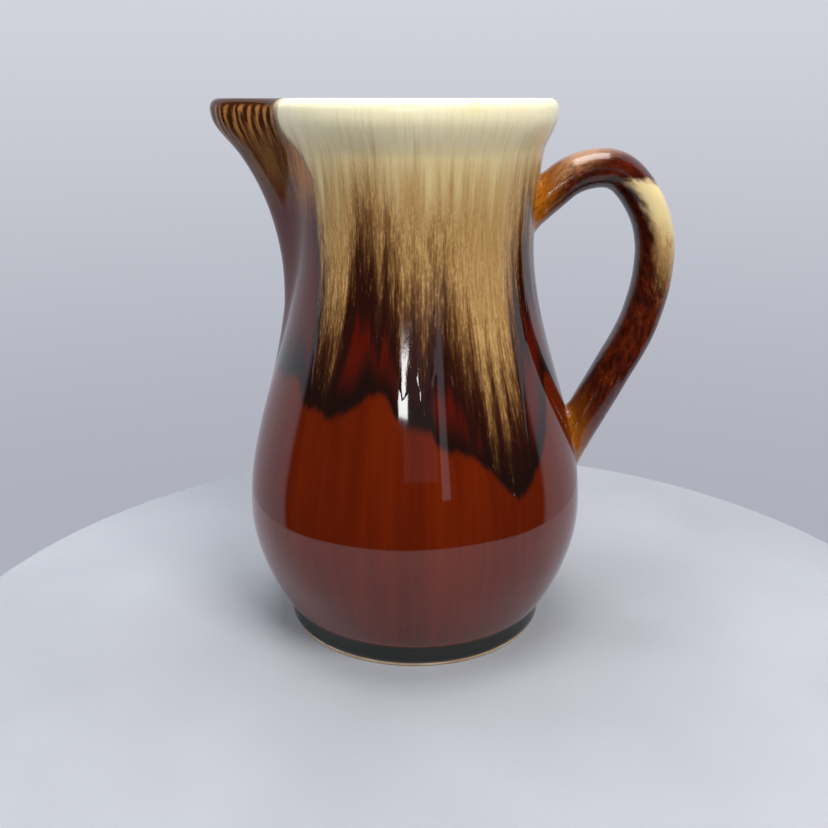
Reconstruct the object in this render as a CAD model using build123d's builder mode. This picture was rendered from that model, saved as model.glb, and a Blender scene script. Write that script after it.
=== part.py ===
"""A stoneware pitcher: a vessel with a beak spout, a luted loop handle and two coats of glaze.

Frame: +Z up, origin on the vessel's axis at the level of the foot's resting face.
The beak points to -X and the handle stands on the +X side.  All sizes are in millimetres.
"""
from build123d import *
import os
from math import cos, radians, sin

# ---- Vessel: sizes of the fired clay, before glazing
HEIGHT = 164.0  # foot to the top of the rim
FOOT_R = 41.6  # outside of the foot ring
FOOT_H = 7.5  # foot ring up to the start of the belly
BELLY_START_R = 43.0  # belly where it leaves the foot
BELLY_R = 53.3  # widest point
BELLY_Z = 40.0  # height of the widest point
NECK_R = 35.6  # narrowest point
NECK_DROP = 39.0  # narrowest point, below the rim
FLARE_R = 37.3  # outside where the rim starts to turn out
FLARE_DROP = 14.0  # that place, below the rim
RIM_R = 41.1  # outside of the rolled rim
RIM_BAND = 3.4  # height of the rim's upright edge, taken up by its rounding
START_SLOPE = 0.6  # how fast the belly opens out of the foot
FLARE_SLOPE = 0.15  # how fast the rim opens where its flare starts
WALL = 5.0  # thickness of the wall
FLOOR = 6.0  # thickness of the clay between the cavity and the recess
FLOOR_ROUND = 5.0  # rounding between the cavity's floor and its wall
FOOT_RING = 6.0  # width of the ring that the vessel stands on
RECESS = 2.5  # depth of the hollow inside the foot ring
RIM_OUT_ROUND = 2.3  # rounding of the rim, outside
RIM_IN_ROUND = 1.2  # rounding of the rim, inside
FOOT_ROUND = 0.9  # rounding of the foot's lower edge

# ---- Beak: oval sections, as (drop below the rim, projection beyond the neck, half width)
BEAK_SECTIONS = (
    (0.0, 24.4, 16.5),
    (5.0, 23.6, 16.0),
    (15.0, 16.0, 14.5),
    (28.0, 9.0, 12.0),
    (45.0, 3.4, 9.0),
    (60.0, 0.6, 6.0),
)
BEAK_ROOT = 16.0  # centre of the sections, from the vessel's axis
BEAK_BLEND = 5.0  # hollow rounding where the beak leaves the vessel

# ---- Handle
HANDLE_THICK = 10.8  # across the strap, in the plane of the loop
HANDLE_WIDTH = 15.0  # across the strap, square to the loop
FINGER_GAP = 32.2  # between the neck and the inside of the loop
OUTER_DROP = 45.0  # furthest point of the loop, below the rim
CROWN_R = 32.4  # bend from the furthest point up to the shoulder
CROWN_ANGLE = 45.0  # turn of that bend
SHOULDER_R = 11.5  # tight bend over the top
SPRING_R = 19.5  # bend from the top down towards the neck
SPRING_ANGLE = 41.0  # slope at which the loop meets the neck
BACK_R = 63.0  # long bend from the furthest point down
BACK_ANGLE = 27.5  # slope of the straight lower leg
BITE = 8.0  # how far each leg is carried inside the wall before it is trimmed to it
STATIONS = 13  # oval sections along the loop

# ---- Luting slip at the two joints
SLIP_ROUND = 4.0  # hollow rounding of the slip between the handle and the wall

# ---- Glaze
BASE_COAT = 0.4  # amber coat, inside and out
DRIP_COAT = 0.6  # cream coat that ran down from the rim, over the amber one
GLAZE_LINE = 1.6  # bare clay left at the bottom of the foot
MOUTH_LINE = 16.0  # depth of the outer coats inside the mouth, where the lining ends
DRIP_BAND = 42.0  # depth of the cream coat between its runs
# runs of the cream coat, as (direction in degrees, depth below the rim, half width)
DRIP_RUNS = (
    (232.0, 80.0, 5.0),
    (252.0, 62.0, 4.0),
    (270.0, 81.0, 7.0),
    (300.0, 101.0, 11.0),
    (25.0, 84.0, 9.0),
    (55.0, 97.0, 8.0),
    (85.0, 74.0, 7.0),
    (112.0, 92.0, 9.0),
    (140.0, 70.0, 6.0),
)
OUTSIDE = BELLY_R + 20.0  # clear of every part of the vessel

cavity_z = RECESS + FLOOR
neck_z = HEIGHT - NECK_DROP


def vessel_form(grow, top, blend=0):
    """Filled vessel and beak, with every wall moved out by grow and cut level at top."""
    flare_z = HEIGHT - FLARE_DROP
    band_z = HEIGHT - RIM_BAND
    foot, start, belly = FOOT_R + grow, BELLY_START_R + grow, BELLY_R + grow
    neck, flare, rim = NECK_R + grow, FLARE_R + grow, RIM_R + grow
    start_z = FOOT_H - max(grow, 0)
    low_pull = (BELLY_Z - start_z) / 3
    side_pull = (neck_z - BELLY_Z) / 3
    neck_pull = (flare_z - neck_z) / 3
    rim_pull = (band_z - flare_z) / 3
    with BuildPart() as form:
        with BuildSketch(Plane.XZ):
            with BuildLine():
                Polyline((0, top), (0, 0), (foot, 0), (foot, start_z), (start, start_z))
                Bezier(
                    (start, start_z),
                    (start + low_pull * START_SLOPE, start_z + low_pull),
                    (belly, BELLY_Z - low_pull),
                    (belly, BELLY_Z),
                )
                Bezier(
                    (belly, BELLY_Z),
                    (belly, BELLY_Z + side_pull),
                    (neck, neck_z - side_pull),
                    (neck, neck_z),
                )
                Bezier(
                    (neck, neck_z),
                    (neck, neck_z + neck_pull),
                    (flare - neck_pull * FLARE_SLOPE, flare_z - neck_pull),
                    (flare, flare_z),
                )
                Bezier(
                    (flare, flare_z),
                    (flare + rim_pull * FLARE_SLOPE, flare_z + rim_pull),
                    (rim, band_z - rim_pull),
                    (rim, band_z),
                )
                Polyline((rim, band_z), (rim, top), (0, top))
            make_face()
        revolve(axis=Axis.Z)
        for drop, out, half_width in BEAK_SECTIONS:
            level = top if drop == 0 else HEIGHT - drop
            with BuildSketch(Plane.XY.offset(level)):
                with Locations((-BEAK_ROOT, 0)):
                    Ellipse(NECK_R + out - BEAK_ROOT + grow, half_width + grow)
        loft()
        creases = form.edges(Select.NEW).filter_by(lambda edge: edge.center().Z < top - 1)
        if blend:
            fillet(creases, blend)
    return form.part


def vessel_solid(coat):
    """Hollow vessel, with its outside, rim and inside moved out by a coat's thickness."""
    top = HEIGHT + coat
    with BuildPart() as vessel:
        add(vessel_form(coat, top, BEAK_BLEND))
        with BuildPart(mode=Mode.PRIVATE) as cavity:
            add(vessel_form(-WALL - coat, top))
            with BuildSketch(Plane.XY):
                Circle(OUTSIDE)
            extrude(amount=cavity_z + coat, mode=Mode.SUBTRACT)
            fillet(cavity.faces().sort_by(Axis.Z)[0].edges(), FLOOR_ROUND)
        add(cavity.part, mode=Mode.SUBTRACT)
        rim_face = vessel.faces().sort_by(Axis.Z)[-1]
        outer_edges = rim_face.outer_wire().edges()
        fillet(outer_edges, RIM_OUT_ROUND + coat)
        rim_face = vessel.faces().sort_by(Axis.Z)[-1]
        fillet(rim_face.inner_wires()[0].edges(), RIM_IN_ROUND + coat)
    return vessel.part


def handle_route():
    """Centre line of the loop, from inside the neck's wall over the top to inside the belly's wall."""
    outermost = (NECK_R + BASE_COAT + FINGER_GAP + HANDLE_THICK / 2, HEIGHT - OUTER_DROP)
    with BuildLine(Plane.XZ) as route:
        crown = JernArc(outermost, (0, 1), CROWN_R, CROWN_ANGLE)
        shoulder = JernArc(crown @ 1, crown % 1, SHOULDER_R, 90 - CROWN_ANGLE)
        spring = JernArc(shoulder @ 1, shoulder % 1, SPRING_R, SPRING_ANGLE)
        upper_run = ((spring @ 1).X - NECK_R + BITE) / cos(radians(SPRING_ANGLE))
        PolarLine(spring @ 1, upper_run, direction=spring % 1)
        back = JernArc(outermost, (0, -1), BACK_R, -BACK_ANGLE)
        lower_run = ((back @ 1).X - BELLY_R + BITE * 2) / sin(radians(BACK_ANGLE))
        PolarLine(back @ 1, lower_run, direction=back % 1)
    return route.wire()


def section_plane(place, along):
    """Plane square to the route, with its x axis across the strap's width."""
    return Plane(origin=place, x_dir=(0, 1, 0), z_dir=along)


def loop_solid(coat):
    """Oval strap along the whole route, with its surface moved out by a coat's thickness."""
    route = handle_route()
    with BuildPart() as loop:
        for step in range(STATIONS):
            share = step / (STATIONS - 1)
            with BuildSketch(section_plane(route @ share, route % share)):
                Ellipse(HANDLE_WIDTH / 2 + coat, HANDLE_THICK / 2 + coat)
        loft()
    return loop.part


def joined_solid(coat):
    """Filled vessel and its loop, with the slip's hollow rounding where they meet."""
    with BuildPart() as joined:
        add(vessel_form(coat, HEIGHT + coat, BEAK_BLEND))
        add(loop_solid(coat))
        fillet(joined.edges(Select.NEW), SLIP_ROUND - coat)
    return joined.part


def inner_plug():
    """Space inside the vessel, out to the middle of its wall, up to the line where the inner coat stops."""
    with BuildPart() as plug:
        add(vessel_form(-WALL / 2, HEIGHT))
        with BuildSketch(Plane.XY.offset(HEIGHT - MOUTH_LINE)):
            Circle(OUTSIDE)
        extrude(amount=MOUTH_LINE * 2, mode=Mode.SUBTRACT)
    return plug.part


def drip_curtain(plug):
    """Space that the cream coat fills: a band under the rim, its runs, and a band inside the mouth."""
    with BuildPart() as curtain:
        with BuildSketch(Plane.XY.offset(HEIGHT - DRIP_BAND)):
            Circle(OUTSIDE)
        extrude(amount=DRIP_BAND * 2)
        for direction, depth, half_width in DRIP_RUNS:
            outwards = Vector(cos(radians(direction)), sin(radians(direction)), 0)
            face = Plane(origin=(0, 0, HEIGHT), x_dir=outwards.cross(Vector(0, 0, -1)), z_dir=outwards)
            straight = depth - half_width
            with BuildSketch(face):
                with Locations((0, -straight / 2)):
                    Rectangle(half_width * 2, straight)
                with Locations((0, -straight)):
                    Circle(half_width)
            extrude(amount=OUTSIDE)
        add(plug, mode=Mode.SUBTRACT)
    return curtain.part


clay = vessel_solid(0)
coated = vessel_solid(BASE_COAT)
twice_coated = vessel_solid(BASE_COAT + DRIP_COAT)
filled = vessel_form(0, HEIGHT, BEAK_BLEND)
filled_coated = vessel_form(BASE_COAT, HEIGHT + BASE_COAT, BEAK_BLEND)
loop = loop_solid(0)
joined = joined_solid(0)
fitting = joined - filled
fitting_coated = joined_solid(BASE_COAT) - filled_coated
plug = inner_plug()

with BuildPart() as body:
    add(clay)
    with BuildSketch(Plane.XY):
        Circle(FOOT_R - FOOT_RING)
    extrude(amount=RECESS, mode=Mode.SUBTRACT)
    fillet(body.faces().sort_by(Axis.Z)[0].outer_wire().edges(), FOOT_ROUND)
body.part.label = "body"

with BuildPart() as handle:
    add(loop)
    add(filled, mode=Mode.SUBTRACT)
handle.part.label = "handle"

with BuildPart() as slip:
    add(joined)
    add(filled_coated + loop, mode=Mode.SUBTRACT)
lower_slip, upper_slip = slip.solids().sort_by(Axis.Z)

with BuildPart() as lower_joint_slip:
    add(lower_slip)
lower_joint_slip.part.label = "lower_joint_slip"

with BuildPart() as upper_joint_slip:
    add(upper_slip)
upper_joint_slip.part.label = "upper_joint_slip"

with BuildPart() as lining_glaze:
    add(coated)
    add(clay, mode=Mode.SUBTRACT)
    add(plug, mode=Mode.INTERSECT)
lining_glaze.part.label = "lining_glaze"

with BuildPart() as base_glaze:
    add(coated)
    add(clay, mode=Mode.SUBTRACT)
    with BuildSketch(Plane.XY):
        Circle(OUTSIDE)
    extrude(amount=GLAZE_LINE, mode=Mode.SUBTRACT)
    add(plug, mode=Mode.SUBTRACT)
    add(loop, mode=Mode.SUBTRACT)
base_glaze.part.label = "base_glaze"

with BuildPart() as handle_glaze:
    add(fitting_coated)
    add(fitting, mode=Mode.SUBTRACT)
handle_glaze.part.label = "handle_glaze"

with BuildPart() as drip_glaze:
    add(twice_coated)
    add(coated, mode=Mode.SUBTRACT)
    add(drip_curtain(plug), mode=Mode.INTERSECT)
    add(fitting_coated, mode=Mode.SUBTRACT)
drip_glaze.part.label = "drip_glaze"

os.makedirs("parts", exist_ok=True)
pieces = (
    body, handle, lower_joint_slip, upper_joint_slip, lining_glaze, base_glaze, handle_glaze, drip_glaze,
)
for piece in pieces:
    export_step(piece.part, f"parts/{piece.part.label}.step")
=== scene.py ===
# %% [markdown]
# # A brown drip-glazed pitcher
# The pitcher is thrown pale clay under three glazes: a glossy amber coat all over, a
# coat of the same kind on the handle, and a cream coat that was dipped on the rim and
# ran down the neck in streaks while the kiln was hot.  The clay's shape is fixed
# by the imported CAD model.  Every piece here is worked out around that model, in metres,
# with +Z up, the beak towards -X and the handle towards +X.
#
# Thin coats could be made with a Solidify modifier on a copy of the CAD mesh.  Here each
# coat is a surface of its own, computed with numpy, because a formula gives smooth walls,
# true thickness and measures (how far down, how near to a run's tip) that the materials
# can read.

# %% The fixed frame
from math import pi, radians

import bpy
import numpy as np
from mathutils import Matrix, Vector


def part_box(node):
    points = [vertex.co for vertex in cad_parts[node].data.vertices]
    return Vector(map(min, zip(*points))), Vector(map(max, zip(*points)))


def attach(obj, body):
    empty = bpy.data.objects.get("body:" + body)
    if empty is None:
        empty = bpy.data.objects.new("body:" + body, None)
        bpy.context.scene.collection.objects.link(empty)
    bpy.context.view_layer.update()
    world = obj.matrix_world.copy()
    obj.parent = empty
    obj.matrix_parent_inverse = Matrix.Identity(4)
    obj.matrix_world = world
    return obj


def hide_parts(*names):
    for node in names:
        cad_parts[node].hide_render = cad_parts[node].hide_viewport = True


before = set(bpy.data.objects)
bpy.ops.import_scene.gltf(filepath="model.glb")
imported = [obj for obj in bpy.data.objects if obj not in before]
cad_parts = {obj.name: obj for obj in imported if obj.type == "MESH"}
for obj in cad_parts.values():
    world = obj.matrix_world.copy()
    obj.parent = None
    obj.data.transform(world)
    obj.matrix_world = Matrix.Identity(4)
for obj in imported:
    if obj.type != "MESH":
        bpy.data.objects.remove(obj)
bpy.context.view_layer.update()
MM = 0.001  # sizes below are in millimetres, and become metres when a mesh is made
body_low, body_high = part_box("body")
TOP = body_high.z / MM  # top of the clay's rim
BELLY_R = body_high.y / MM  # clay's widest radius
BEAK_REACH = -body_low.x / MM  # clay's beak, from the axis
print("clay: top", round(TOP, 1), "belly", round(BELLY_R, 1), "beak", round(BEAK_REACH, 1), "mm")

# %% [markdown]
# ## The thrown form
# A potter's profile is a few long bends: foot, belly, neck, flare, rim.  A cubic Bezier
# between each pair gives a curve with no kinks from very few numbers, which is why it is
# used here rather than a dense list of measured points.

# %% Sizes of the clay
FOOT_R, FOOT_H, FOOT_STEP = 41.6, 7.5, 1.4
NECK_R, NECK_DROP = 35.6, 39.0
FLARE_R, FLARE_DROP = 37.3, 14.0
RIM_R, RIM_BAND = 41.1, 3.4
BELLY_Z = 40.0
WALL, FLOOR, RECESS, FOOT_RING = 5.0, 6.0, 2.5, 6.0
START_LEAN, FLARE_LEAN = 0.6, 0.15  # how fast the belly leaves the foot, and the flare the neck
FLOOR_ROUND = 5.0  # rounding between the cavity's wall and its floor
LIP_HEIGHT = 2.5  # height of the rounded part of the rim
AMBER_COAT = 0.4  # thickness of the amber glaze
CREAM_COAT = 0.35  # most that the cream glaze stands proud of the amber one
GLAZE_LINE = 1.6  # bare clay under the glaze, at the foot
MOUTH_LINE = 16.0  # depth of the outer coats inside the mouth
STEP = 1.0  # distance between rings of vertices


def bezier(start, leave, arrive, end, count=60):
    """Points of a cubic Bezier: the four points weighted by (1-t)^3, 3(1-t)^2 t, 3(1-t)t^2 and t^3."""
    t = np.linspace(0, 1, count)[:, None]
    weights = (1 - t) ** 3, 3 * (1 - t) ** 2 * t, 3 * (1 - t) * t**2, t**3
    return sum(w * np.array(p, float) for w, p in zip(weights, (start, leave, arrive, end)))


def clay_profile():
    """(radius, height) along the outside of the clay, from the top of the foot band to the rim.

    It is a chain of Beziers through foot, belly, neck, flare and rim.  The two middle points of
    each stand a third of its height from its ends, so it leaves and arrives upright or leaning.
    """
    neck_z, flare_z, band_z = TOP - NECK_DROP, TOP - FLARE_DROP, TOP - RIM_BAND
    start_r = FOOT_R + FOOT_STEP
    low, side = (BELLY_Z - FOOT_H) / 3, (neck_z - BELLY_Z) / 3
    throat, roll = (flare_z - neck_z) / 3, (band_z - flare_z) / 3
    start, belly, neck = (start_r, FOOT_H + 0.3), (BELLY_R, BELLY_Z), (NECK_R, neck_z)
    flare, rim = (FLARE_R, flare_z), (RIM_R, band_z)
    bends = (
        ((FOOT_R, FOOT_H - 1.2), (FOOT_R, FOOT_H - 0.2), (start_r - 0.9, FOOT_H), start, 12),
        (start, (start_r + low * START_LEAN, FOOT_H + low), (BELLY_R, BELLY_Z - low), belly),
        (belly, (BELLY_R, BELLY_Z + side), (NECK_R, neck_z - side), neck),
        (neck, (NECK_R, neck_z + throat), (FLARE_R - throat * FLARE_LEAN, flare_z - throat), flare),
        (flare, (FLARE_R + roll * FLARE_LEAN, flare_z + roll), (RIM_R, band_z - roll), rim),
    )
    return np.vstack([bezier(*bend) for bend in bends])


PROFILE = clay_profile()
print("profile:", len(PROFILE), "points, neck", round(PROFILE[:, 0].min(), 1), "mm")

# %% [markdown]
# ## The beak
# The beak was pulled out of the soft rim with a finger, so each level of it is an oval
# that leaves the round wall through a hollow crease.  In polar form both outlines are a
# distance from the axis, and a smooth maximum of the two joins them with that crease.

# %% The wall as one formula
BEAK_ROOT = 16.0  # centre of the beak's ovals, from the axis
BEAK_DROPS = np.array([0.0, 5.0, 15.0, 28.0, 45.0, 60.0])
BEAK_OUTS = np.array([24.4, 23.6, 16.0, 9.0, 3.4, 0.6])  # beyond the neck
BEAK_HALVES = np.array([16.5, 16.0, 14.5, 12.0, 9.0, 6.0])  # half widths
CREASE = 12.0  # range over which the smooth maximum acts


def smooth_through(x, knots, values):
    """Cubic Hermite curve through the knots, with each slope taken from the neighbouring knots."""
    slopes = np.gradient(values, knots)
    x = np.clip(x, knots[0], knots[-1])
    k = np.clip(np.searchsorted(knots, x) - 1, 0, len(knots) - 2)
    width = knots[k + 1] - knots[k]
    t = (x - knots[k]) / width
    left, right = values[k], values[k + 1]
    bend_left, bend_right = slopes[k] * width, slopes[k + 1] * width
    rise = t * t * (3 - 2 * t)
    return left + (right - left) * rise + bend_left * t * (1 - t) ** 2 - bend_right * t * t * (1 - t)


def wall(turn, radius, height, grow):
    """Distance from the axis to the wall: the larger of the round profile and the beak's oval.

    The oval's distance R solves ((R c - root)/a)^2 + (R s/w)^2 = 1 for the direction (c, s), and
    the smooth maximum adds (crease - difference)^2 / (4 crease) where the two nearly meet.
    """
    drop = TOP - height
    a = NECK_R - BEAK_ROOT + smooth_through(drop, BEAK_DROPS, BEAK_OUTS) + grow
    w = smooth_through(drop, BEAK_DROPS, BEAK_HALVES) + grow
    c, s = -np.cos(turn), np.sin(turn)
    spread = (c / a) ** 2 + (s / w) ** 2
    push = BEAK_ROOT * c / a**2
    oval = (push + np.sqrt(np.maximum(push**2 + spread * (1 - (BEAK_ROOT / a) ** 2), 0))) / spread
    circle = radius + grow
    near = np.maximum(CREASE - np.abs(circle - oval), 0)
    return np.maximum(circle, oval) + near**2 / (4 * CREASE)


def profile_radius(height):
    """Radius of the clay's round profile at a height."""
    return np.interp(height, PROFILE[:, 1], PROFILE[:, 0])


print("beak tip at", round(float(wall(pi, profile_radius(TOP), TOP, 0.0)), 1), "mm")

# %% [markdown]
# ## Rings of vertices
# Every round piece is a list of stations.  A station is one ring: the profile's radius,
# its height, how far the wall is moved out (or in, for the inside), and a share that
# shrinks the ring to a point for the floor.  The turn is divided unevenly, with more
# points at the beak, where the outline bends hardest.

# %% Stations along the wall
AROUND = 360
BEAK_SQUEEZE = 0.42  # how much closer the points stand at the beak than on average
base_turn = np.linspace(0, 2 * pi, AROUND, endpoint=False)
TURN = base_turn + BEAK_SQUEEZE * np.sin(base_turn)


def stations(radius, height, grow, share=1.0):
    """Rows of (radius, height, grow, share), one for each ring."""
    return np.stack(np.broadcast_arrays(radius, height, grow, share), -1).astype(float)


def evenly(points, step):
    """The same polyline with points at equal distances of about one step."""
    run = np.r_[0, np.cumsum(np.hypot(*np.diff(points, axis=0).T))]
    at = np.linspace(0, run[-1], int(run[-1] / step) + 2)
    return np.stack([np.interp(at, run, points[:, k]) for k in (0, 1)], -1)


def outside(coat, low, high, step=STEP):
    """Rings up the outside from one height to another, moved out by the coat."""
    path = np.vstack([[FOOT_R, low], PROFILE[PROFILE[:, 1] > low], [RIM_R, high]])
    path = evenly(path[path[:, 1] <= high], step)
    return stations(path[:, 0], path[:, 1], coat)


def lip(coat, count=18, pile=0.0):
    """Rings over the rim: half an ellipse from the outer wall to the inner one, raised by the glaze
    piled on it, which is pile sin(angle)."""
    angle = np.linspace(0, pi, count + 2)[1:-1]
    across = (1 - np.cos(angle)) / 2
    height = TOP + coat + pile * np.sin(angle) - LIP_HEIGHT * (1 - np.sin(angle))
    return stations(profile_radius(height), height, coat - (WALL + 2 * coat) * across)


def inside(coat, high, low, step=1.4):
    """Rings down the inside from one height to another, moved in by the wall and the coat."""
    height = np.linspace(high, low, int((high - low) / step) + 2)
    return stations(profile_radius(height), height, -WALL - coat)


def cavity_floor(coat, corner=FLOOR_ROUND):
    """Rings round the floor's corner, a quarter circle, and then in to the axis."""
    level = RECESS + FLOOR + coat
    angle = np.linspace(0, pi / 2, 10)[1:]
    height = level + corner * (1 - np.sin(angle))
    bend = stations(profile_radius(height), height, -WALL - coat - corner * (1 - np.cos(angle)))
    share = np.linspace(1, 0, 24)[1:]
    flat = stations(profile_radius(level), level, -WALL - coat - corner, share)
    return np.vstack([bend, flat])


lip_base = TOP - LIP_HEIGHT
inside_top = lip_base - 1  # first ring down the inside, below the rim's rounding
floor_bend = RECESS + FLOOR + FLOOR_ROUND  # last ring down the inside
print("rings up the outside:", len(outside(AMBER_COAT, GLAZE_LINE, lip_base)))

# %% [markdown]
# ## From rings to a mesh
# A grid of points becomes quads by joining each ring to the next.  Pieces that are filled
# end in a point at each end, and a coat is a tube in both directions, like the skin of a
# ring: out along the front, back along the clay.  The faces are turned outwards by the
# sign of the volume they enclose.

# %% Mesh from a grid
def grid_faces(rings, around, closed):
    """Quads between neighbouring rings, joined round the turn, and end to start if closed."""
    ring = np.arange(rings if closed else rings - 1)[:, None]
    column = np.arange(around)[None, :]
    after, beside = (ring + 1) % rings, (column + 1) % around
    corners = (ring, column), (ring, beside), (after, beside), (after, column)
    return np.stack([r * around + c for r, c in corners], -1).reshape(-1, 4)


def pole_faces(around, first, pole):
    """Triangles from one ring to its pole."""
    column = np.arange(around)
    return np.stack([first + column, np.full(around, pole), first + (column + 1) % around], -1)


def solid_mesh(name, grid, closed, fields=None):
    """Object from a grid of points (rings, around, 3) in millimetres.

    An open grid is capped at both ends by a point at the middle of its last ring.  The volume is
    a sixth of the sum of each triangle's triple product, and its sign says which way faces turn.
    """
    rings, around, _ = grid.shape
    points = grid.reshape(-1, 3)
    faces = [grid_faces(rings, around, closed)]
    if not closed:
        first, last = len(points), len(points) + 1
        points = np.vstack([points, grid[0].mean(0), grid[-1].mean(0)])
        faces += [pole_faces(around, 0, first), pole_faces(around, first - around, last)[:, ::-1]]
    corner = [points[f[:, :3]] for f in faces] + [points[faces[0][:, [0, 2, 3]]]]
    volume = sum(np.einsum("ij,ij->", t[:, 0], np.cross(t[:, 1], t[:, 2])) for t in corner) / 6
    turned = [f[:, ::-1] if volume < 0 else f for f in faces]
    mesh = bpy.data.meshes.new(name)
    mesh.from_pydata((points * MM).tolist(), [], [row for f in turned for row in f.tolist()])
    mesh.polygons.foreach_set("use_smooth", np.ones(len(mesh.polygons), bool))
    for field, values in (fields or {}).items():
        size = 3 if values.ndim == 3 else 1
        values = values.reshape(-1, size)
        if not closed:
            values = np.vstack([values, values[:around].mean(0), values[-around:].mean(0)])
        kind = "FLOAT_VECTOR" if size == 3 else "FLOAT"
        layer = mesh.attributes.new(field, kind, "POINT")
        layer.data.foreach_set("vector" if size == 3 else "value", values.astype(np.float32).ravel())
    piece = bpy.data.objects.new(name, mesh)
    bpy.context.scene.collection.objects.link(piece)
    print(name, len(mesh.polygons), "faces,", round(abs(volume) / 1000, 1), "cm3")
    return piece


def turned_grid(rows, extra=0.0):
    """Points of the rings: (R cos, R sin, height) for every station and every turn."""
    radius, height, grow, share = (rows[:, k:k + 1] for k in range(4))
    reach = share * (wall(TURN[None, :], radius, height, grow) + extra)
    return np.stack([reach * np.cos(TURN), reach * np.sin(TURN), height + 0 * reach], -1)


# %% [markdown]
# ## The clay
# Under the glaze the pitcher is one thrown wall.  Only its resting ring and the hollow
# inside that ring are bare, where the glaze was wiped off so that the pitcher wouldn't
# stick to the kiln shelf.  The whole wall is still made, so that the piece is a true solid.

# %% The thrown body
def underside():
    """Rings from the middle of the recess out to the resting ring and round its edge."""
    inner = FOOT_R - FOOT_RING
    flat = stations(inner, RECESS, 0.0, np.linspace(0, 1, 16)[1:])
    edge_r = np.array([inner, inner + 0.5, FOOT_R - 0.8, FOOT_R - 0.2, FOOT_R])
    edge_z = np.array([0.5, 0.0, 0.0, 0.25, 0.9])
    return np.vstack([flat, stations(edge_r, edge_z, 0.0)])


clay_rows = np.vstack([
    underside(), outside(0.0, GLAZE_LINE, lip_base, 2.0), lip(0.0),
    inside(0.0, inside_top, floor_bend, 2.0), cavity_floor(0.0),
])
thrown_body = solid_mesh("thrown_body", turned_grid(clay_rows)[:, ::2], closed=False)
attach(thrown_body, "root")
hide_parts("body")

# %% [markdown]
# ## How the cream coat ran
# The cream glaze melted and slid down in runs.  Each run is a parabola hanging from the
# rim: deepest along its own direction and shorter to each side.  The longest of them at
# each direction is the edge of the coat.  Where the amber glaze took up some of the cream
# it went dark, and that dark pool hangs a little below the runs, wider and rounder.

# %% Runs and pools
# runs of the cream coat, as (direction in degrees, depth below the rim, half width in degrees)
RUNS = np.array([
    (221.5, 74, 3.6), (229.5, 83, 3.8), (235.0, 87, 3.6), (241.0, 66, 3.2), (248.0, 57, 3.4),
    (254.5, 66, 3.0), (260.0, 64, 3.0), (266.0, 78, 4.2), (273.5, 80, 4.2), (280.0, 74, 3.4),
    (285.5, 78, 3.4), (290.5, 88, 3.6), (297.5, 102, 3.6), (303.5, 105, 3.4), (309.5, 101, 3.4),
    (315.0, 80, 3.0), (321.0, 68, 4.0), (329.0, 58, 3.8), (338.0, 60, 4.0), (350.0, 70, 5.0),
    (4.0, 62, 5.0), (15.0, 76, 4.0), (23.0, 90, 4.6), (31.0, 80, 3.6), (41.0, 58, 4.0),
    (52.0, 97, 4.8), (60.0, 84, 4.0), (71.0, 60, 4.4), (82.0, 78, 4.6), (91.0, 66, 3.6),
    (103.0, 84, 4.2), (112.0, 94, 4.6), (120.0, 70, 3.8), (131.0, 56, 4.2), (140.0, 72, 4.0),
    (148.0, 52, 3.6),
])
# lowest places of the dark pool, in the same way
POOLS = np.array([
    (236, 85, 20), (272, 86, 15), (289, 95, 14), (306, 106, 15), (345, 82, 16),
    (24, 97, 16), (55, 104, 14), (84, 86, 14), (110, 101, 15), (140, 82, 16),
])
RUN_FALL = 10.0  # how much shorter a run is at its half width
BAND = 48.0  # depth of the cream coat between runs
POOL_BAND = 78.0  # depth of the dark pool between its deepest places
CREAM_SIDES = 204.0, 157.0  # directions where the cream coat ends beside the beak, in degrees
generator = np.random.default_rng(20)


def turned_from(turn, direction):
    """Signed angle from a direction, in degrees, between -180 and 180."""
    return (np.degrees(turn)[..., None] - direction + 180) % 360 - 180


def deepest(turn, runs, band):
    """Depth of the lowest glaze at each turn: the largest of depth - fall (angle / half width)^2."""
    depths = runs[:, 1] - RUN_FALL * (turned_from(turn, runs[:, 0]) / runs[:, 2]) ** 2
    return np.maximum(depths.max(-1), band)


def ripple(turn, lowest, highest, size):
    """Uneven wave round the pitcher: a sum of cosines of whole numbers of turns, with random phases."""
    harmonics = np.arange(lowest, highest)
    phases = generator.uniform(0, 2 * pi, len(harmonics))
    waves = np.cos(turn[..., None] * harmonics + phases)
    return size * waves.sum(-1) / np.sqrt(len(harmonics) / 2)


def soft_step(x, low, high):
    """0 below low, 1 above high, and t^2 (3 - 2t) between."""
    t = np.clip((x - low) / (high - low), 0, 1)
    return t * t * (3 - 2 * t)


run_depth = deepest(TURN, RUNS, BAND) + ripple(TURN, 40, 90, 1.6)
pool_depth = deepest(TURN, POOLS, POOL_BAND) + ripple(TURN, 6, 30, 0.9)
to_beak = np.abs(turned_from(TURN, np.array([180.0]))[..., 0])  # degrees from the beak's ridge
left_edge, right_edge = CREAM_SIDES[0] - 180, 180 - CREAM_SIDES[1]
edge_side = np.where(np.sin(TURN) < 0, left_edge, right_edge)
print("deepest run", round(run_depth.max()), "mm, deepest pool", round(pool_depth.max()), "mm")

# %% [markdown]
# The materials need to know, at every vertex, where the glaze is.  `flow` holds the
# direction round the axis and the drop below the rim, so noise stretched along it runs
# down the wall and has no seam.  `run` is how far the vertex is above the tip of its run,
# `pool` how far above the lower edge of the dark pool, and `beak` how near to the beak.
# `lip` is the distance along the rim from the beak's tip, which sets out the beak's
# stripes.

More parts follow.
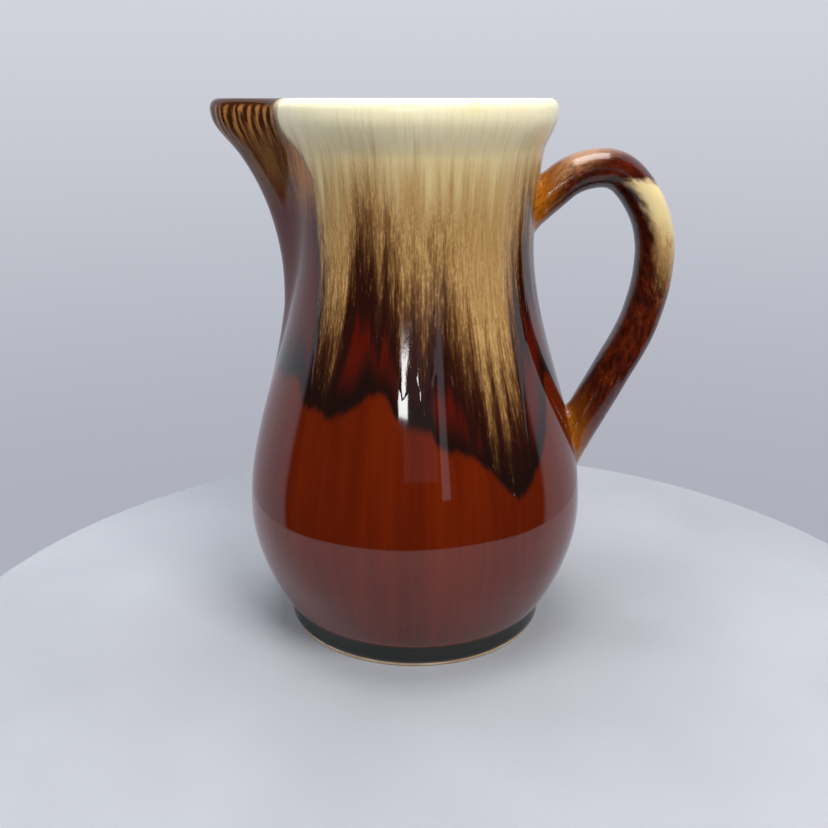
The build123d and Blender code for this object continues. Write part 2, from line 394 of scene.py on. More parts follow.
# %% Measures for the materials
FLOW_RADIUS = 40.0  # one unit of flow is a millimetre at this distance from the axis
OVER_THE_RIM = 2.0  # added to the drop inside the mouth, for the way over the rim
RUN_INSIDE = 0.22  # depth of the runs inside the mouth, as a share of those outside
POOL_INSIDE, POOL_LOWER = 0.24, 14.0  # the pool inside, as a share, and how much lower it lies
SLANT, SLANT_FROM, SLANT_TO = 15.0, 7.0, 22.0  # lean of the cream coat's edge, and its drops
EDGE_FADE = 6.0  # degrees to each side over which that edge fades
BARE = 10.0  # value of run beside the beak, this far below a tip


def flow_fields(rows):
    """Fields of a turned grid, each as (rings, around) or (rings, around, 3)."""
    height, grow = rows[:, 1:2], rows[:, 2:3]
    drop = TOP + AMBER_COAT - height + 0 * TURN
    within = grow < -WALL / 2
    drop = np.where(within, drop + OVER_THE_RIM, drop)
    slant = SLANT * soft_step(drop, SLANT_FROM, SLANT_TO)
    beside = soft_step(to_beak - edge_side - slant, -EDGE_FADE, EDGE_FADE)
    depth = np.where(within, RUN_INSIDE * run_depth, run_depth)
    deep = np.where(within, POOL_INSIDE * pool_depth + POOL_LOWER, pool_depth)
    run = depth * beside - BARE * (1 - beside) - drop
    pool = deep - drop
    ring_at_lip = wall(TURN, RIM_R, TOP, 0.0)
    edge = np.stack([ring_at_lip * np.cos(TURN), ring_at_lip * np.sin(TURN)], -1)
    along = np.r_[0, np.cumsum(np.hypot(*np.diff(edge, axis=0).T))]
    along = np.abs(along - along[np.argmin(to_beak)])
    ones = np.ones_like(drop)
    flow = np.stack([FLOW_RADIUS * np.cos(TURN) * ones, FLOW_RADIUS * np.sin(TURN) * ones, drop], -1)
    return {"flow": flow, "run": run, "pool": pool, "beak": to_beak * ones, "lip": along * ones}


print("cream starts", left_edge, "and", right_edge, "degrees from the beak")

# %% [markdown]
# ## The amber coat
# The amber glaze is a glassy skin less than half a millimetre thick.  Its surface is not
# quite true, and that is what makes reflections waver on a hand-finished pot, so the
# front is moved in and out by a few hundredths of a millimetre in long soft waves.

# %% Amber coat
def front_and_back(front, back):
    """Rings of a closed coat: along the front, then back along the clay."""
    return np.vstack([front, back[::-1]])


def waver(rows):
    """Long waves of the glaze's surface: slow ones round the turn, each drifting with the height."""
    height = rows[:, 1:2]
    waves = (
        np.sin(3 * TURN + height * 0.05) + np.sin(5 * TURN - height * 0.09 + 1.3)
        + np.sin(9 * TURN + height * 0.16 + 4.0) * 0.6 + np.sin(2 * TURN + height * 0.33 + 2.2) * 0.5
    )
    return 0.022 * waves


BACK_GAP = 0.02  # air between a coat's back and the clay, so that the two don't flicker
mouth_z = TOP - MOUTH_LINE
BACK_STEP = 2.4  # distance between the rings of a coat's back, which nobody sees
amber_front = np.vstack([
    outside(AMBER_COAT, GLAZE_LINE, lip_base), lip(AMBER_COAT, pile=0.2),
    inside(AMBER_COAT, inside_top, mouth_z),
])
amber_back = np.vstack([
    outside(BACK_GAP, GLAZE_LINE, lip_base, BACK_STEP), lip(BACK_GAP, 10),
    inside(BACK_GAP, inside_top, mouth_z, BACK_STEP),
])
amber_rows = front_and_back(amber_front, amber_back)
amber_extra = np.vstack([waver(amber_front), 0 * waver(amber_back)])
amber_coat = solid_mesh("amber_coat", turned_grid(amber_rows, amber_extra), True, flow_fields(amber_rows))
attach(amber_coat, "root")
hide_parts("base_glaze")

# %% [markdown]
# ## The lining
# Inside, the same amber glaze was poured in, swirled round and poured out.  It meets the
# outer coats a little way down inside the mouth and covers the floor.

# %% Lining coat
lining_front = np.vstack([inside(AMBER_COAT, mouth_z, floor_bend), cavity_floor(AMBER_COAT)])
lining_back = np.vstack([inside(BACK_GAP, mouth_z, floor_bend, BACK_STEP), cavity_floor(BACK_GAP)])
lining_rows = np.vstack([lining_front[::-1], lining_back])
lining_grid = turned_grid(lining_rows)[:, ::2]
lining_fields = {name: field[:, ::2] for name, field in flow_fields(lining_rows).items()}
lining_coat = solid_mesh("lining_coat", lining_grid, False, lining_fields)
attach(lining_coat, "root")
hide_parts("lining_glaze")

# %% [markdown]
# ## The cream coat
# The cream coat lies over the amber one.  It is thickest near the rim and thins out
# along each run, and its edge feathers into the amber coat instead of ending in a step.
# So the front rises from below the amber surface at the run's edge, and everything that
# stays below is simply hidden.

# %% Cream coat
LIP_PILE = 0.6  # cream glaze piled on the top of the rim
CREAM_END = 108.0  # lowest ring of the cream coat, below the rim
SUNK = AMBER_COAT - 0.2  # the cream coat's back, inside the amber one
cream_low, cream_mouth = TOP - CREAM_END, mouth_z + 1
cream_front = np.vstack([
    outside(AMBER_COAT, cream_low, lip_base), lip(AMBER_COAT, pile=LIP_PILE),
    inside(AMBER_COAT, inside_top, cream_mouth),
])
cream_back = np.vstack([
    outside(SUNK, cream_low, lip_base, BACK_STEP), lip(SUNK, 10),
    inside(SUNK, inside_top, cream_mouth, BACK_STEP),
])
cream_rows = front_and_back(cream_front, cream_back)
cream_fields = flow_fields(cream_rows)


def cream_rise(rows, run):
    """How far the cream coat stands out: its full thickness well above a run's tip, and below the
    amber surface past the tip, with fine ribs where the glaze slid."""
    ribs = 0.03 * np.sin(TURN * 97 + 2 * np.sin(TURN * 11)) * soft_step(run, 5, 30)
    thick = CREAM_COAT * (0.25 * soft_step(run, -2, 10) + 0.75 * soft_step(run, 10, 70))
    hidden = 0.12 * (1 - soft_step(run, -4, 1))
    inward = np.where(rows[:, 2:3] < -WALL / 2, -1.0, 1.0)
    return (thick + ribs - hidden) * inward


front_count = len(cream_front)
cream_extra = cream_rise(cream_front, cream_fields["run"][:front_count]) + waver(cream_front)
cream_extra = np.vstack([cream_extra, np.zeros((len(cream_back), AROUND))])
cream_coat = solid_mesh("cream_coat", turned_grid(cream_rows, cream_extra), True, cream_fields)
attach(cream_coat, "root")
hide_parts("drip_glaze")

# %% [markdown]
# ## The handle
# A pulled handle is a strap of clay with an oval section that bends in a few arcs.  Its
# centre line is drawn by walking along it and turning: straight, tight bend, wide bend.
# The oval is carried along that line, and near the wall it spreads in the same hollow
# that a potter's thumb leaves.  Each long line of the strap is then cut where it meets
# the wall, so that the joint follows the wall exactly.

# %% Route of the handle
HANDLE_THICK, HANDLE_WIDTH, FINGER_GAP, OUTER_DROP = 10.8, 15.0, 32.2, 45.0
# bends from the furthest point up and over, and from it down, as (radius, turn in degrees)
UPPER_BENDS = (32.4, 45.0), (11.5, 45.0), (19.5, 41.0)
LOWER_BENDS = ((63.0, -27.5),)
RUN_IN = 30.0, 52.0  # straight runs past the bends, long enough to reach into the wall
PACE = 0.1  # length of one stride along the route
SLIP_ROUND = 3.4  # hollow rounding where the handle meets the wall


def walked(start, heading, bends, straight):
    """Points of a path walked from start: each stride moves by (cos, sin) of the heading, which turns
    evenly in a bend and stays as it is along the straight run at the end."""
    headings = [np.linspace(0, turn, int(radius * radians(abs(turn)) / PACE)) for radius, turn in bends]
    offsets = np.cumsum([0.0] + [turn for _, turn in bends])
    legs = [h + o for h, o in zip(headings, offsets)] + [np.full(int(straight / PACE), offsets[-1])]
    course = np.radians(heading + np.concatenate(legs))
    strides = PACE * np.stack([np.cos(course), np.sin(course)], -1)
    return np.vstack([start, np.array(start) + np.cumsum(strides, axis=0)])


outermost = (NECK_R + AMBER_COAT + FINGER_GAP + HANDLE_THICK / 2, TOP - OUTER_DROP)
upper_way = walked(outermost, 90.0, UPPER_BENDS, RUN_IN[0])
lower_way = walked(outermost, -90.0, LOWER_BENDS, RUN_IN[1])
ROUTE = np.vstack([upper_way[::-1], lower_way[1:]])[::5]
print("handle route:", round(len(ROUTE) * PACE * 5), "mm, furthest", round(ROUTE[:, 0].max(), 1), "mm")

# %% [markdown]
# The strap is a grid of long lines, one for each place round its oval.  A curve with a
# bevel would carry the oval too, but its ends couldn't follow the wall.

# %% Strap along the route
STRAP_AROUND, STRAP_RINGS = 72, 220
STRAP_THINNER, STRAP_GAIN = 0.3, 0.9  # thinner at the upper root, and how much it gains downwards
# clearance at which each skin of the strap is cut, a little inside the wall
CLAY_CUT, SLIP_CUT, GLAZE_CUT, GLAZE_BACK_CUT = -0.8, -0.4, -0.3, -0.7


def clearance(points):
    """Distance from each point to the clay's wall, and the direction straight out of the wall.

    The distance is measured level from the axis and then shortened by the wall's slope, as
    (rho - R) / sqrt(1 + slope^2).  The direction is (cos, sin, -slope), made one long.
    """
    turn = np.arctan2(points[..., 1], points[..., 0])
    height = np.clip(points[..., 2], FOOT_H + 1, TOP - 1)
    slope = profile_radius(height + 0.5) - profile_radius(height - 0.5)
    longer = np.sqrt(1 + slope**2)
    level = np.hypot(points[..., 0], points[..., 1]) - wall(turn, profile_radius(height), height, 0.0)
    outwards = np.stack([np.cos(turn), np.sin(turn), -slope], -1) / longer[..., None]
    return level / longer, outwards


def strap_lines(coat, spread):
    """Long lines of the strap: route + normal (t/2 + coat) cos + width (w/2 + coat) sin.

    Where they come near to the wall they move along it, by the hollow round
    r - sqrt(r^2 - (r - clearance)^2).
    """
    along = np.gradient(ROUTE, axis=0)
    along /= np.linalg.norm(along, axis=1, keepdims=True)
    out = np.stack([-along[:, 1], 0 * along[:, 0], along[:, 0]], -1)[:, None, :]
    centre = np.stack([ROUTE[:, 0], 0 * ROUTE[:, 0], ROUTE[:, 1]], -1)[:, None, :]
    angle = np.linspace(0, 2 * pi, STRAP_AROUND, endpoint=False)[None, :, None]
    share = np.linspace(0, 1, len(ROUTE))[:, None, None]
    thick = (HANDLE_THICK - STRAP_THINNER + STRAP_GAIN * share) / 2 + coat
    width = HANDLE_WIDTH / 2 + coat
    side = np.array([0.0, 1.0, 0.0])
    lines = centre - out * thick * np.cos(angle) + side * width * np.sin(angle)
    distance, outwards = clearance(lines)
    gap = np.clip(SLIP_ROUND - distance, 0, SLIP_ROUND)[..., None]
    hollow = spread * (SLIP_ROUND - np.sqrt(SLIP_ROUND**2 - gap**2))
    sideways = side * np.sin(angle) - out * np.cos(angle)
    sideways = sideways - outwards * (sideways * outwards).sum(-1, keepdims=True)
    return lines + hollow * sideways


def cut_lines(lines, from_gap, to_gap=None):
    """Grid of rings whose every line starts and ends where its clearance passes a value."""
    gap = clearance(lines)[0]
    clear = gap > from_gap
    count = len(lines)
    first = clear.argmax(0)
    last = count - 1 - clear[::-1].argmax(0)
    if to_gap is not None:
        last = np.minimum(last, first + (gap > to_gap).argmax(0) - first)
    at = first + np.linspace(0, 1, STRAP_RINGS)[:, None] * (last - first)
    under = np.clip(at.astype(int), 0, count - 2)
    rest = (at - under)[..., None]
    column = np.arange(lines.shape[1])[None, :]
    return lines[under, column] * (1 - rest) + lines[under + 1, column] * rest


strap_grid = cut_lines(strap_lines(AMBER_COAT, 1.0), GLAZE_CUT)
print("strap from", strap_grid[0].mean(0).round(1), "to", strap_grid[-1].mean(0).round(1))

# %% [markdown]
# The handle's own clay, the two rings of slip that lute it on, and the glaze over both
# are three skins of the same strap.  The slip is the hollow rounding by itself.  The
# glaze carries `along`, the share of the way from the upper root to the lower one,
# `back`, which is 1 on the side that faces away from the pitcher, `gap`, the clearance
# from the wall, and `grip`, a place on the strap for noise to follow.

# %% Handle, slip and handle glaze
pulled_handle = solid_mesh("pulled_handle", cut_lines(strap_lines(-0.03, 0.0), CLAY_CUT), False)
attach(pulled_handle, "root")
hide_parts("handle")


def slip_ring(name, node, upper):
    """Closed ring between the plain strap and the spread one, next to the wall at one end."""
    order = slice(None) if upper else slice(None, None, -1)
    spread, plain = (strap_lines(c, s)[order] for c, s in ((-0.02, 1.0), (0.02, 0.0)))
    half = len(spread) // 2
    outer = cut_lines(spread[:half], SLIP_CUT, SLIP_ROUND)[::12]
    inner = cut_lines(plain[:half], SLIP_CUT, SLIP_ROUND)[::12]
    ring = solid_mesh(name, np.concatenate([outer, inner[::-1]]), True)
    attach(ring, "root")
    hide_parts(node)
    return ring


upper_slip = slip_ring("upper_slip", "upper_joint_slip", True)
lower_slip = slip_ring("lower_slip", "lower_joint_slip", False)

strap_share = np.linspace(0, 1, STRAP_RINGS)[:, None] + np.zeros((1, STRAP_AROUND))
strap_angle = np.linspace(0, 2 * pi, STRAP_AROUND, endpoint=False)
GRIP_RADIUS, GRIP_LENGTH = 8.0, 150.0  # about the strap's radius and length
grip = np.broadcast_arrays(
    GRIP_RADIUS * np.cos(strap_angle), GRIP_RADIUS * np.sin(strap_angle), GRIP_LENGTH * strap_share
)
front_fields = {
    "along": strap_share,
    "back": -np.cos(strap_angle) + 0 * strap_share,
    "grip": np.stack(grip, -1),
    "gap": clearance(strap_grid)[0],
}
strap_wave = 0.03 * (
    np.sin(2 * strap_angle + 40 * strap_share) + np.sin(70 * strap_share + strap_angle)
)
strap_middle = strap_grid.mean(1, keepdims=True)
strap_out = strap_grid - strap_middle
strap_out /= np.linalg.norm(strap_out, axis=-1, keepdims=True)
strap_back = cut_lines(strap_lines(BACK_GAP, 1.0), GLAZE_BACK_CUT)[::4]
coat_grid = np.concatenate([strap_grid + strap_out * strap_wave[..., None], strap_back[::-1]])
handle_fields = {
    name: np.concatenate([field, field[::-1][::4]]) for name, field in front_fields.items()
}
handle_coat = solid_mesh("handle_coat", coat_grid, True, handle_fields)
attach(handle_coat, "root")
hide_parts("handle_glaze")

# %% [markdown]
# ## Sums on sockets
# A glaze is described by sums: how far above the tip of a run, plus some noise, and so
# on.  Written as nodes one by one that is hard to read.  The class below wraps a socket,
# so that a sum written in Python adds the Math nodes for it.

# %% A socket that does sums
class Wire:
    """One value in a material, on which + - * add Math nodes."""

    def __init__(self, finish, socket):
        self.finish, self.socket = finish, socket

    def maths(self, operation, left, right):
        return self.finish.add("ShaderNodeMath", {0: left, 1: right}, operation=operation)

    def __add__(self, other):
        return self.maths("ADD", self, other)

    def __sub__(self, other):
        return self.maths("SUBTRACT", self, other)

    def __rsub__(self, other):
        return self.maths("SUBTRACT", other, self)

    def __mul__(self, other):
        return self.maths("MULTIPLY", self, other)

    __radd__, __rmul__ = __add__, __mul__

    def rise(self, low, high):
        """0 below low, 1 above high, and a smooth step between."""
        sockets = {"Value": self, "From Min": low, "From Max": high}
        return self.finish.add("ShaderNodeMapRange", sockets, interpolation_type="SMOOTHSTEP")

    def wave(self):
        return self.finish.add("ShaderNodeMath", {0: self}, operation="SINE")


class Finish:
    """A material with one Principled shader, and the nodes that feed it."""

    def __init__(self, name, **constants):
        self.material = bpy.data.materials.new(name)
        self.material.use_nodes = True
        self.tree = self.material.node_tree
        self.shader = self.tree.nodes["Principled BSDF"]
        for socket, value in constants.items():
            self.shader.inputs[socket.replace("_", " ")].default_value = value

    def add(self, kind, sockets, output=0, **settings):
        """Adds a node: its settings first, then the values or links of its sockets."""
        node = self.tree.nodes.new(kind)
        for name, value in settings.items():
            setattr(node, name, value)
        for socket, value in sockets.items():
            if isinstance(value, Wire):
                self.tree.links.new(value.socket, node.inputs[socket])
            else:
                node.inputs[socket].default_value = value
        return Wire(self, node.outputs[output])

    def field(self, name, vector=False):
        """A measure stored on the mesh."""
        return self.add("ShaderNodeAttribute", {}, 1 if vector else 2, attribute_name=name)

    def stretched(self, place, x, y, z):
        return self.add("ShaderNodeVectorMath", {0: place, 1: (x, y, z)}, operation="MULTIPLY")

    def noise(self, place, scale, detail=2.0, roughness=0.55):
        """Noise from -1 to 1, around 0."""
        sockets = {"Vector": place, "Scale": scale, "Detail": detail, "Roughness": roughness}
        return (self.add("ShaderNodeTexNoise", sockets) - 0.5) * 2.0

    def mix(self, amount, first, second):
        """First colour where amount is 0, second where it is 1."""
        return self.add("ShaderNodeMix", {0: amount, 6: first, 7: second}, 2, data_type="RGBA")

    def feed(self, socket, value):
        self.tree.links.new(value.socket, self.shader.inputs[socket])

    def bump(self, height, strength, distance):
        sockets = {"Height": height, "Strength": strength, "Distance": distance}
        self.feed("Normal", self.add("ShaderNodeBump", sockets))


def paint(red, green, blue):
    """Colour on a 0 to 255 scale, turned to linear light by the sRGB curve."""
    share = np.array([red, green, blue]) / 255
    linear = np.where(share <= 0.04045, share / 12.92, ((share + 0.055) / 1.055) ** 2.4)
    return (*linear.tolist(), 1.0)


print("paint(128, 128, 128) is", [round(c, 3) for c in paint(128, 128, 128)])

# %% [markdown]
# ## Colours of the running glazes
# The amber and the cream coat share one recipe, so that no seam shows where one dives
# under the other.  From the bottom up: clear amber, then a green-black line where the
# cream's melt ended, red-brown above it, then threads of cream that get denser upwards
# until they close to tan and, near the rim, to ivory.  The beak has hardly any cream,
# only curved brown and tan stripes that start at its edge.  In each rise the two numbers
# are where a change starts and where it is complete, mostly in millimetres above a run's
# tip or below the rim.

# %% Recipe for the running glazes
AMBER_DEEP, AMBER_LIGHT = paint(72, 16, 2), paint(98, 28, 3)
POOL_EDGE, POOL_RED = paint(24, 11, 8), paint(74, 15, 6)
VEIL_BROWN, VEIL_TAN = paint(84, 50, 24), paint(146, 110, 66)
THREAD_DARK, THREAD_LIGHT, THREAD_TIP = paint(158, 124, 74), paint(180, 146, 96), paint(128, 94, 48)
IVORY, IVORY_SHADE, LIP_YELLOW = paint(236, 228, 194), paint(208, 190, 142), paint(226, 220, 156)
STRIPE_DARK, STRIPE_TAN = paint(58, 28, 12), paint(164, 112, 60)
STRIPE_LOW, STRIPE_GOLD = paint(124, 84, 50), paint(168, 108, 38)
FOOT_BLACK, FOOT_LINE = paint(22, 24, 20), paint(120, 48, 30)


def amber_ground(finish, flow, pool, run, streak, broad):
    """Amber below the pool's edge, dark at the edge, red-brown above it, and dark round the runs."""
    amber = finish.mix((streak + broad).rise(-1.2, 1.2), AMBER_DEEP, AMBER_LIGHT)
    above = pool + streak * 2.5
    pooled = finish.mix((above + broad * 8).rise(3, 15), POOL_EDGE, POOL_RED)
    pooled = finish.mix((0 - run + streak * 6).rise(9, 0) * 0.85, pooled, POOL_EDGE)
    return finish.mix(above.rise(-1.6, 1.8), amber, pooled)


def cream_layers(finish, ground, drop, run, streak, thread, speck):
    """A brown veil, then threads, then closed tan, then ivory, each further above the runs' tips."""
    level = run + streak * 14
    veiled = finish.mix((level + thread * 14).rise(2, 30) * 0.9, ground, VEIL_BROWN)
    veiled = finish.mix((level + thread * 20).rise(12, 44), veiled, VEIL_TAN)
    threads = finish.mix((thread + speck * 0.6).rise(-0.4, 0.5), THREAD_DARK, THREAD_LIGHT)
    threads = finish.mix((level + thread * 10).rise(40, 12), threads, THREAD_TIP)
    dense = (thread * 40 + speck * 46 + level * 0.9).rise(17, 50)
    tan = finish.mix(dense, veiled, threads)
    pale = finish.mix((drop * -0.06 + streak * 0.7 + thread * 0.25).rise(-1.3, 0.0), IVORY_SHADE, IVORY)
    height = (drop + streak * 22 + thread * 10 - run * 0.10).rise(27, -1)
    milky = finish.mix(height * (level + thread * 24).rise(10, 44), tan, pale)
    pits = (speck + thread * 0.4).rise(0.62, 0.78) * drop.rise(12, 7)
    return finish.mix(pits * 0.7, milky, VEIL_BROWN)


def beak_ground(finish, under, drop, beak, lip, broad, streak, thread, speck):
    """Beak's own browns: stripes at its edge, then streaks of tan, and a golden patch beside them.

    The stripes are the sine of the distance along the rim, bent by the fall and by noise.
    """
    phase = lip * 2.3 + drop * 0.5 + streak * 5.0 + broad * 5.0
    stripe = finish.mix((phase.wave() + thread * 1.6 + speck).rise(-0.6, 1.2), STRIPE_DARK, STRIPE_TAN)
    lower = finish.mix((thread + streak + speck * 0.6).rise(-0.8, 0.8), STRIPE_DARK, STRIPE_LOW)
    gold = finish.mix((thread + streak * 1.4 + speck * 0.6).rise(-1.1, 0.6), STRIPE_DARK, STRIPE_GOLD)
    lower = finish.mix((beak + streak * 4).rise(20, 27), lower, gold)
    striped = finish.mix((drop + streak * 7 + thread * 4 + beak * 0.2).rise(8, 17), stripe, lower)
    edged = finish.mix((drop + thread * 0.6).rise(2.4, 0.8) * (beak.rise(30, 22)), striped, STRIPE_DARK)
    amount = (beak + streak * 6 + thread * 4).rise(56, 44) * (drop + streak * 14 + thread * 8).rise(34, 20)
    return finish.mix(amount, under, edged)


print("recipe: ground, beak ground, cream layers")

# %% [markdown]
# One material for both coats holds four noises, each stretched down the wall because the
# melt ran that way.  Cream glaze is a little more matt than the clear amber, and its
# threads stand out as a fine bump.

# %% Running glaze material
def running_glaze(name, with_foot):
    """Material of a coat that carries the flow fields."""
    finish = Finish(name, IOR=1.55)
    flow, run, pool = finish.field("flow", True), finish.field("run"), finish.field("pool")
    beak, lip = finish.field("beak"), finish.field("lip")
    drop = finish.add("ShaderNodeSeparateXYZ", {0: flow}, "Z")
    broad = finish.noise(finish.stretched(flow, 1, 1, 0.05), 0.14)
    streak = finish.noise(finish.stretched(flow, 1, 1, 0.05), 0.5, 3.0)
    thread = finish.noise(finish.stretched(flow, 1, 1, 0.1), 1.5, 3.0, 0.65)
    speck = finish.noise(finish.stretched(flow, 1, 1, 0.4), 1.9, 3.0, 0.7)
    ground = amber_ground(finish, flow, pool, run, streak, broad)
    ground = beak_ground(finish, ground, drop, beak, lip, broad, streak, thread, speck)
    colour = cream_layers(finish, ground, drop, run, streak, thread, speck)
    lip_tint = drop.rise(7, 1) * (streak + broad).rise(-0.1, 0.7) * run.rise(10, 30) * 0.6
    colour = finish.mix(lip_tint, colour, LIP_YELLOW)
    if with_foot:
        colour = finish.mix((drop + streak * 0.3).rise(155.4, 156.0), colour, FOOT_LINE)
        colour = finish.mix((drop + streak * 0.4).rise(156.6, 157.4), colour, FOOT_BLACK)
    finish.feed("Base Color", colour)
    matter = (run + thread * 20).rise(0, 40)
    finish.feed("Roughness", matter * 0.09 + 0.05)
    finish.bump(thread * matter * 0.6 + speck * matter * 0.5 + broad * 0.4, 0.25, 0.0002)
    return finish.material


amber_finish = running_glaze("amber_running_glaze", True)
amber_coat.data.materials.append(amber_finish)
cream_coat.data.materials.append(amber_finish)
lining_coat.data.materials.append(running_glaze("lining_running_glaze", False))
print("materials on", amber_coat.name, cream_coat.name, lining_coat.name)

# %% [markdown]
# ## The handle's glaze
# The handle was dipped in amber and brushed by the cream.  It is golden where the glaze
# is thin near the body, mahogany over the bend, and has a cream patch down its back that
# breaks up into speckles.  Lower down it is dark and mottled, with small pits.

# %% Handle glaze material
HANDLE_DARK, HANDLE_RED = paint(44, 12, 6), paint(86, 28, 8)
HANDLE_GOLD, HANDLE_MOTTLE = paint(176, 104, 20), paint(140, 68, 18)
HANDLE_TAN = paint(184, 138, 100)


def handle_glaze():
    """Gold at the roots, mahogany between, cream down the back of the upper bend."""
    finish = Finish("handle_glaze", IOR=1.55)
    along, back, gap = finish.field("along"), finish.field("back"), finish.field("gap")
    grip = finish.field("grip", True)
    mottle = finish.noise(finish.stretched(grip, 1, 1, 0.6), 0.35, 3.0)
    fleck = finish.noise(finish.stretched(grip, 1, 1, 0.5), 1.1, 3.0, 0.7)
    colour = finish.mix((mottle + fleck * 0.4).rise(-0.4, 0.5), HANDLE_DARK, HANDLE_RED)
    mottled = (fleck + mottle * 0.5).rise(0.25, 0.6) * along.rise(0.35, 0.7)
    colour = finish.mix(mottled, colour, HANDLE_MOTTLE)
    golden = (gap + mottle * 8 + fleck * 6).rise(10, 1) * along.rise(1.8, 0.2)
    tawny = finish.mix((fleck + mottle * 0.6).rise(-0.6, 0.2), HANDLE_RED, HANDLE_GOLD)
    colour = finish.mix(golden, colour, tawny)
    smear = (back + mottle * 0.3 + fleck * 0.12).rise(-0.5, 0.05)
    lower_end = (along + fleck * 0.1 + mottle * 0.05).rise(0.54, 0.40)
    patch = (along + fleck * 0.02 + mottle * 0.02).rise(0.258, 0.284) * lower_end
    pale = finish.mix(along.rise(0.34, 0.46), IVORY_SHADE, THREAD_LIGHT)
    colour = finish.mix(patch * smear, colour, pale)
    first = (along + mottle * 0.03).rise(0.04, 0.09) * (along + fleck * 0.05).rise(0.2, 0.12)
    colour = finish.mix(first * (back + fleck).rise(-0.2, 1.0) * 0.7, colour, HANDLE_TAN)
    frayed = (along + fleck * 0.12).rise(0.62, 0.5) * along.rise(0.36, 0.44) * smear
    colour = finish.mix(frayed * (fleck + mottle * 0.4).rise(-0.1, 0.4), colour, THREAD_DARK)
    finish.feed("Base Color", colour)
    finish.feed("Roughness", patch * 0.06 + 0.05)
    finish.bump(fleck * 0.6 + mottle * 0.6, 0.2, 0.0003)
    return finish.material


handle_coat.data.materials.append(handle_glaze())
print("material on", handle_coat.name)

# %% [markdown]
# ## The bare clay
# Fired clay is matt and warm, a little blotchy, with fine grains.

# %% Clay material
def bare_clay():
    """Warm buff with soft blotches and fine grain, on object coordinates."""
    finish = Finish("bare_clay")
    place = finish.add("ShaderNodeTexCoord", {}, "Object")
    blotch = finish.noise(place, 90.0, 3.0)
    grain = finish.noise(place, 1400.0, 2.0)
    colour = finish.mix(blotch.rise(-0.5, 0.5), paint(176, 140, 108), paint(214, 190, 160))
    finish.feed("Base Color", finish.mix(grain.rise(0.2, 0.5), colour, paint(140, 100, 74)))
    finish.feed("Roughness", grain * 0.08 + 0.78)
    finish.bump(grain + blotch * 0.5, 0.4, 0.0002)
    return finish.material


clay_finish = bare_clay()
clay_pieces = thrown_body, pulled_handle, upper_slip, lower_slip
for piece in clay_pieces:
    piece.data.materials.append(clay_finish)
print("clay on", len(clay_pieces), "pieces")

# %% [markdown]
# ## The table and the studio
# The pitcher stands on a small round table in front of a pale wall, and the room in
# front of it is darker.  That split is what a dark glaze shows best: the pale wall
# shines along both edges, the table in the lower belly, and the front stays deep.

# %% Table and wall
TABLE_CENTRE, TABLE_R, TABLE_EDGE = (10.0, -25.0), 168.0, 3.0
ROOM_R, ROOM_LOW, ROOM_HIGH = 900.0, -500.0, 1500.0


def stage_sheet(name, radius, height, centre=(0.0, 0.0), around=256):
    """Surface of rings (r cos, r sin) round a centre, closed at both ends, for the table and the room."""
    turn = np.linspace(0, 2 * pi, around, endpoint=False)
    radius, height = np.array(radius, float)[:, None], np.array(height, float)[:, None]
    grid = np.stack([
        centre[0] + radius * np.cos(turn), centre[1] + radius * np.sin(turn), height + 0 * turn
    ], -1)
    piece = solid_mesh(name, grid, False)
    return piece


edge = np.linspace(0, pi / 2, 6)
table_top = stage_sheet(
    "table_top",
    np.r_[2.0, TABLE_R - TABLE_EDGE + TABLE_EDGE * np.sin(edge), TABLE_R],
    np.r_[0.0, -TABLE_EDGE + TABLE_EDGE * np.cos(edge), -12.0],
    TABLE_CENTRE,
)
room = stage_sheet("room", [ROOM_R, ROOM_R, ROOM_R], [ROOM_LOW, 300, ROOM_HIGH])
room.data.flip_normals()
print("table", 2 * TABLE_R, "mm across")


def table_cloth():
    """Pale cloth with a very faint weave."""
    finish = Finish("pale_cloth")
    place = finish.add("ShaderNodeTexCoord", {}, "Object")
    weave = finish.noise(place, 700.0, 2.0)
    soft = finish.noise(place, 12.0, 2.0)
    colour = finish.mix(soft.rise(-0.6, 0.6), paint(150, 153, 160), paint(160, 163, 170))
    finish.feed("Base Color", colour)
    finish.feed("Roughness", soft * 0.04 + 0.85)
    finish.bump(weave, 0.3, 0.0003)
    return finish.material


def room_painted_light():
    """Pale wall behind and dark room in front, both glowing faintly of themselves: painted light, brighter
    towards the top of the wall.
    """
    finish = Finish("room_painted_light", Roughness=1.0)
    finish.shader.inputs["Base Color"].default_value = (0.0, 0.0, 0.0, 1.0)
    place = finish.add("ShaderNodeTexCoord", {}, "Object")
    # painted light: the glow is dark in front, pale behind, and brighter towards the top
    behind = finish.add("ShaderNodeSeparateXYZ", {0: place}, "Y").rise(0.02, 0.10)
    height = finish.add("ShaderNodeSeparateXYZ", {0: place}, "Z").rise(-0.35, 0.55)
    pale = finish.mix(height, paint(173, 176, 187), paint(217, 220, 228))
    colour = finish.mix(behind, paint(40, 34, 36), pale)
    finish.feed("Emission Color", colour)
    finish.shader.inputs["Emission Strength"].default_value = 1.0
    return finish.material


table_top.data.materials.append(table_cloth())
room.data.materials.append(room_painted_light())

# %% [markdown]
# ## Light
# Two large soft lights do most of the lighting but are kept out of reflections, because a
# glossy pot would show each as a big white patch.  The one overhead is seen in the rim.
# Three faint panels are there to be reflected: a lamp, a tall doorway and a dim wall.

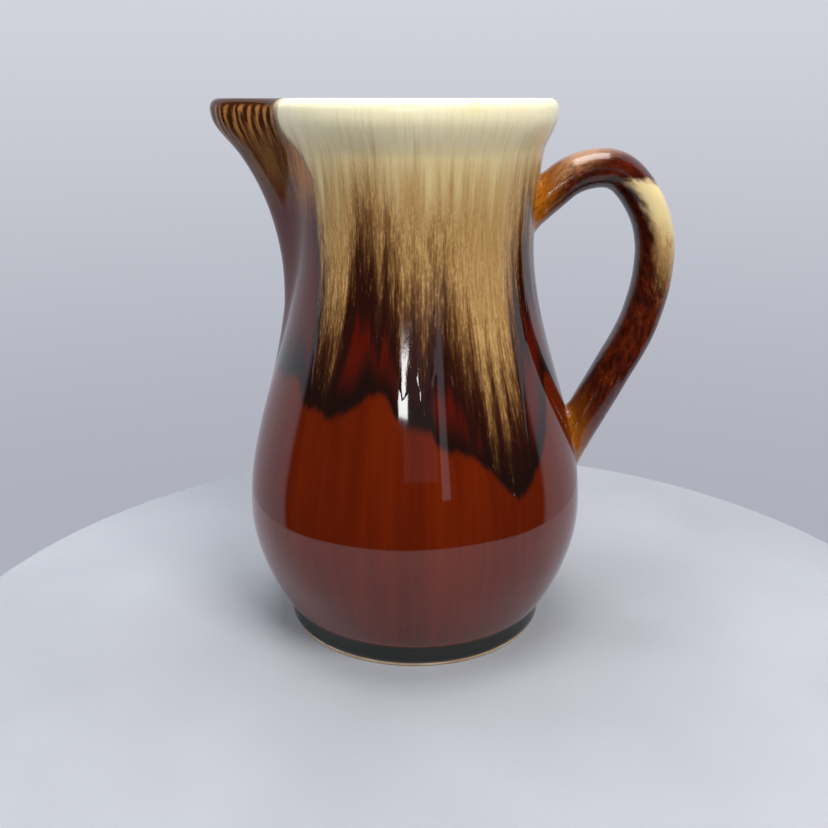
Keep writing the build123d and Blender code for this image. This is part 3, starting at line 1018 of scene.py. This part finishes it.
# %% Lights
def soft_light(name, place, aim, size, watts, tint, reflected, tall=None):
    """Area light at a place, facing a point, in metres: square, or a rectangle if tall is given."""
    light = bpy.data.lights.new(name, "AREA")
    light.size, light.energy, light.color = size, watts, tint
    if tall:
        light.shape, light.size_y = "RECTANGLE", tall
    lamp = bpy.data.objects.new(name, light)
    lamp.location = place
    facing = Vector(aim) - Vector(place)
    lamp.rotation_euler = facing.to_track_quat("-Z", "Y").to_euler()
    lamp.visible_glossy = reflected
    bpy.context.scene.collection.objects.link(lamp)


middle = (0.0, 0.0, TOP * MM / 2)
WHITE, WARM, COOL = (1.0, 1.0, 1.0), (1.0, 0.97, 0.93), (0.93, 0.96, 1.0)
SKY, DUSK = (0.85, 0.9, 1.0), (0.9, 0.88, 1.0)
soft_light("key", (0.45, -0.65, 0.75), middle, 0.45, 13.0, WARM, False)
soft_light("fill", (-0.7, -0.45, 0.45), middle, 0.6, 6.0, COOL, False)
soft_light("crown", (0.0, 0.05, 0.8), (0.0, 0.0, 0.1), 0.5, 5.0, WHITE, True)
soft_light("lamp_glint", (-0.089, -0.61, 0.278), (-0.003, -0.043, 0.088), 0.07, 0.3, WHITE, True)
soft_light("doorway", (0.26, -0.72, 0.19), (0.008, -0.04, 0.09), 0.075, 0.05, SKY, True, 0.26)
soft_light("dim_panel", (0.05, -0.85, 0.25), (0.0, -0.04, 0.1), 0.34, 0.035, DUSK, True, 0.2)

# %% [markdown]
# ## Camera
# The camera stands close, a little above the rim's height, and looks slightly down.

# %% Camera
CAMERA_PLACE = (-0.0003, -0.2927, 0.165)
CAMERA_TILT, CAMERA_LENS = 71.6, 41.3
camera = bpy.data.objects.new("camera", bpy.data.cameras.new("camera"))
camera.location = CAMERA_PLACE
camera.rotation_euler = (radians(CAMERA_TILT), 0.0, 0.0)
camera.data.lens, camera.data.sensor_width = CAMERA_LENS, 36.0
camera.data.clip_start = 0.01
bpy.context.scene.collection.objects.link(camera)
bpy.context.scene.camera = camera
bpy.context.scene.view_settings.view_transform = "Standard"
print("camera lens", CAMERA_LENS, "mm")
